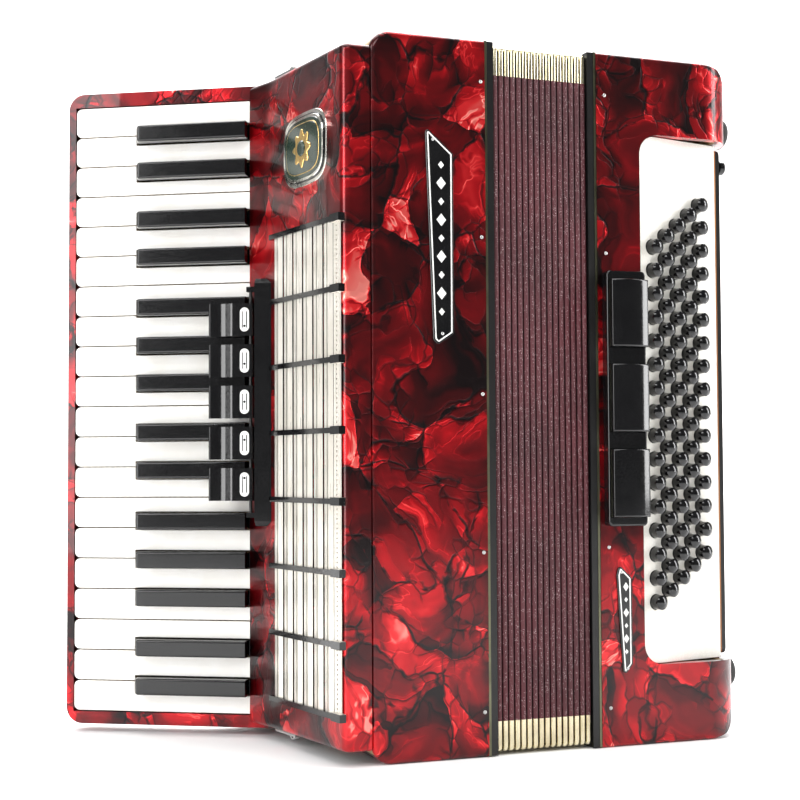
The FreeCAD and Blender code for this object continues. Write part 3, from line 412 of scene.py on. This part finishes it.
def within_walls(p):
    """Whether a point lies inside a casing's front, back, lower and upper walls."""
    deep = WALL_LIMIT < p.y < CASING_DEPTH - WALL_LIMIT
    return deep and WALL_LIMIT < p.z < CASING_HEIGHT - WALL_LIMIT


def casing_look(p, n):
    """Bare wood inside, bright metal on the brackets and hooks."""
    if p.y > CASING_DEPTH + 0.2 or p.x < -1.5:
        return 2
    return 1 if within_walls(p) and p.x > 0.5 else 0


def bass_casing_look(p, n):
    """Bare wood inside, up to the end wall."""
    return 1 if within_walls(p) and p.x < 223 else 0


dress_faces(nodes["treble_casing"].data, casing_look, FRONT)
dress_faces(nodes["bass_casing"].data, bass_casing_look, FRONT)


def bed_look(p, n):
    """Steel on the keys' axle, bare wood on the floor of the well."""
    if -14 < p.x < -10 and -6.5 < p.y < -2.5:
        return 2
    return 1 if -15.2 < p.y < -2 and n.y > 0.7 else 0


def cover_look(p, n):
    """Dull black inside the cover and its slots, as painted shade behind the slats."""
    return 1 if -40 < p.y < -0.4 and p.x > 3 and n.y < 0.5 else 0


def reed_look(p, n):
    """Steel reed plates on the front and back of the blocks, in groups along them."""
    return 1 if abs(n.y) > 0.9 and p.z % 20 < 17 else 0


def slat_look(p, n):
    """Black crossbars, and black slat edges as painted shade in the gaps between slats; the slats
    and the perforated strip are satin.
    """
    along = (p.z - BAR_START + BAR_PITCH / 2) % BAR_PITCH - BAR_PITCH / 2
    if abs(along) < 1.6 and (p.y > 2.32 or abs(n.z) > 0.9 or p.x < 0.5 or p.x > 84):
        return 1
    across = (p.x - SLAT_START) % SLAT_PITCH
    if p.x > SLAT_START - 0.1 and (across < 0.1 and n.x < -0.9 or across > 10.3 and n.y < 0.2):
        return 1
    return 0


dress_faces(nodes["keyboard_bed"].data, bed_look, KEYBOARD)
dress_faces(nodes["grille_cover"].data, cover_look, GRILLE)
dress_faces(nodes["grille_slats"].data, slat_look, GRILLE)
dress_faces(nodes["treble_reed_blocks"].data, reed_look, FRONT)
dress_faces(nodes["bass_reed_blocks"].data, reed_look, FRONT)


# ---------------------------------------------------------------- making pieces


def piece(name, body, vertices, faces, materials, indices=None, place=None, smooth=False):
    """A mesh piece that rides on a body; its points are in millimetres of a local frame."""
    mesh = bpy.data.meshes.new(name)
    mesh.from_pydata([tuple(Vector(v) * MM) for v in vertices], [], faces)
    for material in materials:
        mesh.materials.append(material)
    if indices:
        mesh.polygons.foreach_set("material_index", indices)
    work = bmesh.new()
    work.from_mesh(mesh)
    bmesh.ops.recalc_face_normals(work, faces=work.faces)
    work.to_mesh(mesh)
    work.free()
    mesh.polygons.foreach_set("use_smooth", [smooth] * len(mesh.polygons))
    item = bpy.data.objects.new(name, mesh)
    bpy.context.scene.collection.objects.link(item)
    mesh.transform(place or Matrix.Identity(4))
    if body:
        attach(item, body)
    return item


def quads(first, second, count):
    """Faces between two closed rings of points, given where each ring starts."""
    faces = []
    for here in range(count):
        after = (here + 1) % count
        faces.append((first + here, first + after, second + after, second + here))
    return faces


def box_outline(left, low, right, high):
    """The four corners of an upright rectangle."""
    return [(left, low), (right, low), (right, high), (left, high)]


# Faces of a bar, for the four corners of one end and then of the other.
BAR_FACES = [(0, 1, 2, 3), (4, 5, 6, 7)] + quads(0, 4, 4)


def oval(width, height, power, count, middle):
    """Points of a superellipse."""
    points = []
    for number in range(count):
        angle = 2 * math.pi * number / count
        c, s = math.cos(angle), math.sin(angle)
        x = math.copysign(abs(c) ** (2 / power), c) * width / 2
        y = math.copysign(abs(s) ** (2 / power), s) * height / 2
        points.append((middle[0] + x, middle[1] + y))
    return points


def rounded(corners, radius, steps=5):
    """A polygon with rounded corners."""
    points = []
    for index, corner in enumerate(corners):
        here = Vector(corner)
        before = (Vector(corners[index - 1]) - here).normalized()
        after = (Vector(corners[(index + 1) % len(corners)]) - here).normalized()
        half = before.angle(after) / 2
        back = radius / math.tan(half)
        middle = here + (before + after).normalized() * radius / math.sin(half)
        start, end = here + before * back - middle, here + after * back - middle
        for number in range(steps + 1):
            share = number / steps
            arm = (start * (1 - share) + end * share).normalized() * radius
            points.append(tuple(middle + arm))
    return points


def shrink(points, amount):
    """The outline moved inwards by about the amount."""
    middle = sum((Vector(p) for p in points), Vector((0, 0))) / len(points)
    inner = []
    count = len(points)
    for index, point in enumerate(points):
        tangent = Vector(points[(index + 1) % count]) - Vector(points[index - 1])
        normal = Vector((-tangent.y, tangent.x)).normalized()
        if normal.dot(middle - Vector(point)) < 0:
            normal.negate()
        inner.append(tuple(Vector(point) + normal * amount))
    return inner


def slab(name, body, outline, low, high, materials, place, lift, bevel=0.4):
    """A thin plate; a second material covers its bevel. lift(u, v, h) gives a local point."""
    inner = shrink(outline, bevel)
    count = len(outline)
    layers = [(outline, low), (outline, high - bevel), (inner, high)]
    points = [lift(u, v, h) for ring, h in layers for u, v in ring]
    faces = quads(0, count, count) + quads(count, 2 * count, count)
    faces += [tuple(range(2 * count, 3 * count)), tuple(reversed(range(count)))]
    rim = 1 if len(materials) > 1 else 0
    kinds = [0] * count + [rim] * count + [0, 0]
    piece(name, body, points, faces, materials, kinds, place)


def on_front(u, v, h):
    """Onto the front face: x, z and height off the face."""
    return (u, -h, v)


def on_wall(u, v, h):
    """Onto the grille wall: distance along it, z and height off it."""
    return (u, h, v)


# ---------------------------------------------------------------- bellows

FOLDS = 16
BELLOWS_LOW, BELLOWS_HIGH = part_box("bellows")
bellows_left = (BELLOWS_LOW.x - PLAN.x) / MM
bellows_width = (BELLOWS_HIGH.x - BELLOWS_LOW.x) / MM
pitch = bellows_width / FOLDS
# From the casings' outline in to the ridges, and the length of a corner cover along each side.
RIM = 2.0
COVER = 17.0
CORNER_RADIUS = 2.6
# Half of the gap between two ridges, and the depths of a ridge's foot and a gusset's fold.
HALF_GAP = 0.42
RIDGE_FOOT = 1.3
GUSSET_FOLD = 12.4


def ring_path(depth):
    """Points round the bellows at a depth under the ridges, with a flag for corner covers."""
    low_y, high_y = RIM + depth, CASING_DEPTH - RIM - depth
    low_z, high_z = RIM + depth, CASING_HEIGHT - RIM - depth
    path = []
    corners = (
        (low_y, low_z, 1, 1, False),
        (high_y, low_z, -1, 1, True),
        (high_y, high_z, -1, -1, False),
        (low_y, high_z, 1, -1, True),
    )
    for y, z, sy, sz, swap in corners:
        arc = []
        for number in range(5):
            angle = math.pi / 2 * number / 4
            inward_y = CORNER_RADIUS * (1 - math.sin(angle))
            inward_z = CORNER_RADIUS * (1 - math.cos(angle))
            arc.append((y + sy * inward_y, z + sz * inward_z, 1))
        before = (y, RIM + COVER if sz > 0 else CASING_HEIGHT - RIM - COVER, 1)
        after = (RIM + COVER if sy > 0 else CASING_DEPTH - RIM - COVER, z, 1)
        run = [before] + list(reversed(arc)) + [after]
        if swap:
            run.reverse()
        # The straight side that starts at the last point of a corner is not covered.
        path += run[:-1] + [(run[-1][0], run[-1][1], 0)]
    return path


def bellows_piece(name, profile, start_share, end_share, materials, proud):
    """A ring swept from a profile of (x, depth); the two shares of the travel are not used.

    A proud ring is a ridge: metal covers its corners, and its crest has a material of its own,
    paler as a painted highlight.
    """
    points = [(bellows_left + x, y, z) for x, depth in profile for y, z, _ in ring_path(depth)]
    flags = [flag for _, _, flag in ring_path(0)]
    count = len(flags)
    faces, kinds = [], []
    for layer in range(len(profile) - 1):
        faces += quads(layer * count, (layer + 1) * count, count)
        painted_crest_highlight = 2 if proud and layer == len(profile) // 2 - 1 else 0
        kinds += [1 if proud and flag else painted_crest_highlight for flag in flags]
    item = piece(name, None, points, faces, materials, kinds, FRONT, smooth=proud)
    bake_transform(item)
    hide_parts("bellows")


for fold in range(FOLDS):
    left = fold * pitch
    ridge = [
        (left + HALF_GAP, RIDGE_FOOT),
        (left + HALF_GAP + 0.10, 0.5),
        (left + HALF_GAP + 0.45, 0.16),
        (left + pitch / 2 - 0.38, 0.02),
        (left + pitch / 2 + 0.38, 0.02),
        (left + pitch - HALF_GAP - 0.45, 0.16),
        (left + pitch - HALF_GAP - 0.10, 0.5),
        (left + pitch - HALF_GAP, RIDGE_FOOT),
    ]
    shares = ((fold + 0.42) / FOLDS, (fold + 0.58) / FOLDS)
    cloths = [BELLOWS, NICKEL, BELLOWS_CREST_HIGHLIGHT]
    bellows_piece(f"bellows_ridge_{fold + 1:02d}", ridge, *shares, cloths, True)
for gusset in range(FOLDS + 1):
    middle = gusset * pitch
    walls = [
        (middle - HALF_GAP, RIDGE_FOOT),
        (middle, GUSSET_FOLD),
        (middle + HALF_GAP, RIDGE_FOOT),
    ]
    low_share, high_share = (gusset - 0.42) / FOLDS, (gusset + 0.42) / FOLDS
    if gusset == 0:
        walls, low_share = walls[1:], 0.0
    if gusset == FOLDS:
        walls, high_share = walls[:2], 1.0
    bellows_piece(
        f"bellows_gusset_{gusset + 1:02d}", walls, low_share, high_share, [GUSSET], False
    )


# ---------------------------------------------------------------- trim on the front


def frame_binding(name, body, left, right):
    """A thin binding round a bellows frame, on its side next to the casing."""
    section = [(left, 0.35), (right, 0.35), (right, 0.80), (left, 0.80)]
    points = []
    for x, inset in section:
        corners = box_outline(inset, inset, CASING_DEPTH - inset, CASING_HEIGHT - inset)
        points += [(x, y, z) for y, z in corners]
    faces = []
    for line in range(4):
        faces += quads(4 * line, 4 * ((line + 1) % 4), 4)
    piece(name, body, points, faces, [SLAT_LINE], place=FRONT)


def slat_inlay(name, start):
    """A thin line set into the rear slope of a grille slat, along all of it."""
    section = [(start, 1.85), (start + 0.75, 1.85), (start + 0.75, 2.08), (start, 2.14)]
    points = [(x, y, z) for z in (26.0, 296.0) for x, y in section]
    piece(name, "treble", points, BAR_FACES, [SLAT_LINE], place=GRILLE)


for number in range(6):
    slat_inlay(f"slat_inlay_{number + 1}", SLAT_START + SLAT_PITCH * number + 5.4)
frame_binding("treble_frame_binding", "treble", TREBLE_WIDTH + 0.05, 70.0)
frame_binding("bass_frame_binding", "bass", 137.4, 138.85)


def pin(name, body, at, radius, material):
    """A small domed pin head on the front face."""
    points, faces = [], []
    count, layers = 16, 4
    for layer in range(layers):
        angle = math.pi / 2 * layer / layers
        r = radius * math.cos(angle)
        y = at[1] - 0.5 * radius * math.sin(angle)
        for number in range(count):
            turn = 2 * math.pi * number / count
            points.append((at[0] + r * math.cos(turn), y, at[2] + r * math.sin(turn)))
        if layer:
            faces += quads((layer - 1) * count, layer * count, count)
    points.append((at[0], at[1] - 0.5 * radius, at[2]))
    last = (layers - 1) * count
    faces += [(last + n, last + (n + 1) % count, len(points) - 1) for n in range(count)]
    faces.append(tuple(range(count)))
    piece(name, body, points, faces, [material], place=FRONT, smooth=True)


def nameplate(name, body, corners, rivets, rows):
    """A black plate with a white inner line, a plain lozenge pattern and two rivets."""
    outline = rounded(corners, 1.6)
    slab(name, body, outline, -0.05, 1.1, [BLACK, BLACK_DULL], FRONT, on_front)
    line_out, line_in = shrink(outline, 1.0), shrink(outline, 1.8)
    count = len(outline)
    points = [on_front(u, v, 1.16) for u, v in line_out + line_in]
    points += [on_front(u, v, 1.02) for u, v in line_out + line_in]
    faces = quads(0, count, count) + quads(0, 2 * count, count) + quads(count, 3 * count, count)
    piece(name + "_line", body, points, faces, [WHITE_PAINT], place=FRONT)
    points, faces = [], []
    for u, v, half_u, half_v in rows:
        base = len(points)
        diamond = [(u, v - half_v), (u + half_u, v), (u, v + half_v), (u - half_u, v)]
        points += [on_front(a, b, 1.02) for a, b in diamond]
        points += [on_front(u, v, 1.45)]
        faces += [(base + i, base + (i + 1) % 4, base + 4) for i in range(4)]
        faces.append((base, base + 1, base + 2, base + 3))
    piece(name + "_pattern", body, points, faces, [WHITE_PAINT], place=FRONT)
    for number, (u, v) in enumerate(rivets):
        pin(f"{name}_rivet_{number + 1}", body, on_front(u, v, 1.05), 0.95, STEEL)


nameplate(
    "treble_plate",
    "treble",
    [(32.5, 347.8), (48.6, 333.8), (48.5, 233.6), (39.2, 227.4), (36.3, 229.8), (31.9, 344.4)],
    [(36.4, 341.0), (41.6, 233.4)],
    [(41.2, 245.5 + 10.2 * n, 3.5 if n % 2 else 2.2, 4.3 if n % 2 else 2.6) for n in range(9)],
)
nameplate(
    "bass_plate",
    "bass",
    [(150.2, 103.7), (158.3, 96.1), (158.5, 46.7), (152.3, 39.3), (148.5, 97.8)],
    [(151.6, 99.4), (155.0, 44.4)],
    [(154.3, 54.0 + 7.4 * n, 2.2 if n % 2 else 1.4, 3.2 if n % 2 else 1.8) for n in range(6)],
)
for number, height in enumerate((376.0, 288.2, 200.4, 112.6, 24.9)):
    pin(f"treble_pin_{number + 1}", "treble", (66.0, 0.0, height), 1.1, STEEL)
for number, height in enumerate((374.8, 282.7, 198.0, 113.7, 22.4)):
    pin(f"bass_pin_{number + 1}", "bass", (144.3, 0.0, height), 1.1, STEEL)


# ---------------------------------------------------------------- badge and register marks

badge_middle = (43.0, 340.0)
badge_parts = (
    ("rim", 54.0, 42.0, 0.0, 2.0, CHROME),
    ("step", 50.0, 38.0, 1.6, 2.6, BLACK),
    ("inner_rim", 48.4, 36.4, 2.2, 3.0, CHROME),
    ("face", 45.4, 33.4, 2.6, 3.3, DIAL),
    ("line", 41.0, 29.4, 2.9, 3.45, GOLD),
    ("field", 40.0, 28.4, 3.0, 3.6, DIAL),
)
for name, width, height, low, high, material in badge_parts:
    outline = oval(width, height, 3.4, 64, badge_middle)
    slab("badge_" + name, "treble", outline, low, high, [material], GRILLE, on_wall, 0.3)
petals = []
for number in range(72):
    turn = 2 * math.pi * number / 72
    reach = 9.4 + 1.7 * math.cos(8 * turn)
    petals.append(
        (badge_middle[0] + reach * math.cos(turn), badge_middle[1] + reach * math.sin(turn))
    )
slab("badge_rosette", "treble", petals, 3.3, 4.1, [GOLD], GRILLE, on_wall, 0.35)
centre_outline = oval(9.0, 9.0, 2.0, 40, badge_middle)
slab("badge_centre", "treble", centre_outline, 3.8, 4.7, [DIAL], GRILLE, on_wall, 0.5)


def on_tablet(u, v, h):
    """Onto a treble tablet: along the key direction, z and height over its flat end."""
    return (u, 19.4 + h, v)


MARK_MIDDLE = -1.9
for number in range(5):
    body = f"treble_register_{number + 1}"
    low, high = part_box(body)
    middle = (low.z + high.z) / 2 / MM
    mark = rounded(box_outline(-4.7, middle - 7.1, 0.9, middle + 7.1), 2.75, 8)
    slab(f"{body}_mark", body, mark, -0.03, 0.12, [WHITE_PAINT], KEYBOARD, on_tablet, 0.05)
    for side, label in ((-1, "low"), (1, "high")):
        u = MARK_MIDDLE + 1.3 * side
        line = rounded(box_outline(u - 0.3, middle - 4.9, u + 0.3, middle + 4.9), 0.25, 3)
        slab(f"{body}_line_{label}", body, line, 0.05, 0.2, [BLACK], KEYBOARD, on_tablet, 0.05)
    dot = oval(1.5, 1.5, 2.0, 20, (MARK_MIDDLE, middle + (number - 2) * 1.9))
    slab(f"{body}_dot", body, dot, 0.05, 0.22, [BLACK], KEYBOARD, on_tablet, 0.05)


# ---------------------------------------------------------------- board edge and bass strap

edge_x = (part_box("button_board")[1].x - PLAN.x) / MM
edge_y = (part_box("bass_end_plate")[0].y - PLAN.y) / MM
edge_section = box_outline(edge_x + 0.05, edge_y - 1.0, edge_x + 0.75, edge_y + 1.4)
edge_points = [(x, y, z) for z in (49.0, 351.0) for x, y in edge_section]
edge = piece("board_edge_strip", "bass", edge_points, BAR_FACES, [BEECH], place=FRONT)

strap_low, strap_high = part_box("bass_strap")
base_x = (strap_low.x - PLAN.x) / MM
crown_x = (strap_high.x - PLAN.x) / MM
low_y = (strap_low.y - PLAN.y) / MM
high_y = (strap_high.y - PLAN.y) / MM
middle_y = (low_y + high_y) / 2
half_strap = (high_y - low_y) / 2
# The inner face is an arc between two flat ends, each held under an end of the strap.
rise = crown_x - base_x - 3.2
half_span = 132.0
flat_end = 16
arc_radius = (half_span**2 + rise**2) / (2 * rise)
arc_x = base_x + rise - arc_radius


def strap_line(share):
    """A point on the strap's inner face and its outward normal, for a share of its length."""
    along = (half_span + flat_end) * (2 * share - 1)
    z = CASING_HEIGHT / 2 + along
    if abs(along) >= half_span:
        return base_x, z, Vector((1, 0, 0))
    x = arc_x + math.sqrt(arc_radius**2 - along**2)
    return x, z, Vector((x - arc_x, 0, along)).normalized()


def strap_section(share):
    """Section across the strap: rounded edges and a padded middle."""
    pad = 0.9 * math.sin(math.pi * min(1.0, max(0.0, (share - 0.10) / 0.80))) ** 0.5
    outer = [
        (-half_strap, 1.4),
        (-half_strap + 0.5, 2.5),
        (-half_strap + 1.5, 3.0),
        (-half_strap + 4.0, 2.85),
        (-half_strap + 5.0, 2.55),
        (-half_strap + 6.5, 2.9),
        (-half_strap * 0.5, 3.0 + 0.4 * pad),
        (0, 3.0 + 0.6 * pad),
    ]
    inner = [(half_strap - 0.5, 0.2), (half_strap - 2, 0.0)]
    mirrored = [[(-u, h) for u, h in reversed(half)] for half in (outer[:-1], inner)]
    return outer + mirrored[0] + inner + mirrored[1]


STRAP_STEPS = 72
points, faces = [], []
size = len(strap_section(0))
for number in range(STRAP_STEPS + 1):
    share = number / STRAP_STEPS
    x, z, normal = strap_line(share)
    for u, h in strap_section(share):
        points.append((x + normal.x * h, middle_y + u, z + normal.z * h))
    if number:
        faces += quads((number - 1) * size, number * size, size)
faces += [tuple(range(size)), tuple(range(STRAP_STEPS * size, (STRAP_STEPS + 1) * size))]
strap = piece("hand_strap", "bass", points, faces, [STRAP], place=FRONT, smooth=True)
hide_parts("bass_strap")

STITCHES = 88
points, faces = [], []
for side in (-1, 1):
    across = middle_y + side * (half_strap - 5.0)
    for number in range(STITCHES):
        # A row of stitches covers 0.96 of the strap, and each fills 0.62 of its place.
        share = 0.02 + 0.96 * number / STITCHES
        ends = [strap_line(share), strap_line(share + 0.96 / STITCHES * 0.62)]
        base = len(points)
        for x, z, normal in ends:
            for du, dh in ((-0.35, 2.5), (0.35, 2.5), (0.3, 2.95), (-0.3, 2.95)):
                points.append((x + normal.x * dh, across + du, z + normal.z * dh))
        faces += [tuple(base + corner for corner in face) for face in BAR_FACES]
piece("strap_stitches", "bass", points, faces, [THREAD], place=FRONT, smooth=True)


# ---------------------------------------------------------------- studio


def stage_material(name, colour, roughness):
    """Plain painted board for the floor and backdrop."""
    m = Nodes(name)
    cloud = m.noise(6.0, 2.0).outputs["Fac"]
    other = tuple(part * 0.985 for part in colour)
    m.set(Base_Color=m.mix(cloud, colour, other), Roughness=roughness)
    return m.material


right = Vector((math.cos(YAW), -math.sin(YAW), 0))
away = Vector((math.sin(YAW), math.cos(YAW), 0))
# The floor bends up into the backdrop; its profile is distance and height, in metres.
profile = [(-6.0, 0.0), (1.6, 0.0)]
for number in range(1, 17):
    angle = math.pi / 2 * number / 16
    profile.append((1.6 + 1.4 * math.sin(angle), 1.4 * (1 - math.cos(angle))))
profile.append((3.0, 6.0))
points = []
for depth, height in profile:
    for side in (-8.0, 8.0):
        points.append((away * depth + right * side + Vector((0, 0, height))) / MM)
faces = [(2 * n, 2 * n + 1, 2 * n + 3, 2 * n + 2) for n in range(len(profile) - 1)]
paint = stage_material("backdrop_paint", (0.93, 0.93, 0.93), 0.8)
backdrop = piece("backdrop", None, points, faces, [paint], smooth=True)
backdrop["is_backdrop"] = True


def area_light(name, position, target, width, height, power):
    """A soft box that faces a point."""
    light = bpy.data.lights.new(name, "AREA")
    light.shape = "RECTANGLE"
    light.size, light.size_y, light.energy = width, height, power
    item = bpy.data.objects.new(name, light)
    bpy.context.scene.collection.objects.link(item)
    item.location = position
    item.rotation_euler = (Vector(target) - Vector(position)).to_track_quat("-Z", "Y").to_euler()


centre = Vector((0, 0, 0.2))
area_light("left_box", (-1.75, -0.75, 0.75), centre, 0.7, 1.7, 30)
area_light("right_box", (2.05, -0.95, 0.9), centre, 0.6, 1.7, 34)
area_light("top_box", (-0.1, -0.2, 1.9), centre, 1.5, 1.2, 26)
area_light("camera_box", (-0.75, -2.0, 1.7), centre, 1.4, 0.5, 16)
area_light("backdrop_box", (0.3, 1.0, 2.6), (1.0, 2.6, 0.5), 3.4, 1.4, 150)
area_light("floor_box", (0.4, 0.9, 1.6), (0.4, 0.9, 0.0), 2.2, 1.4, 32)

world = bpy.data.worlds.new("studio")
world.use_nodes = True
background = world.node_tree.nodes["Background"]
background.inputs["Color"].default_value = (1.0, 1.0, 1.0, 1.0)
background.inputs["Strength"].default_value = 0.16
bpy.context.scene.world = world
bpy.context.scene.view_settings.view_transform = "Standard"

forward = Vector(
    (math.sin(YAW) * math.cos(CLIMB), math.cos(YAW) * math.cos(CLIMB), math.sin(CLIMB))
)
up = right.cross(forward)
rolled_right = right * math.cos(ROLL) + up * math.sin(ROLL)
rolled_up = up * math.cos(ROLL) - right * math.sin(ROLL)
lens = bpy.data.cameras.new("camera")
lens.sensor_width = 36.0
lens.lens = 68.18
camera = bpy.data.objects.new("camera", lens)
bpy.context.scene.collection.objects.link(camera)
camera.matrix_world = Matrix.Translation((-0.338145, -0.866063, 0.16009)) @ Matrix(
    (rolled_right, rolled_up, -forward)
).transposed().to_4x4()
bpy.context.scene.camera = camera

low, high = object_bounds()
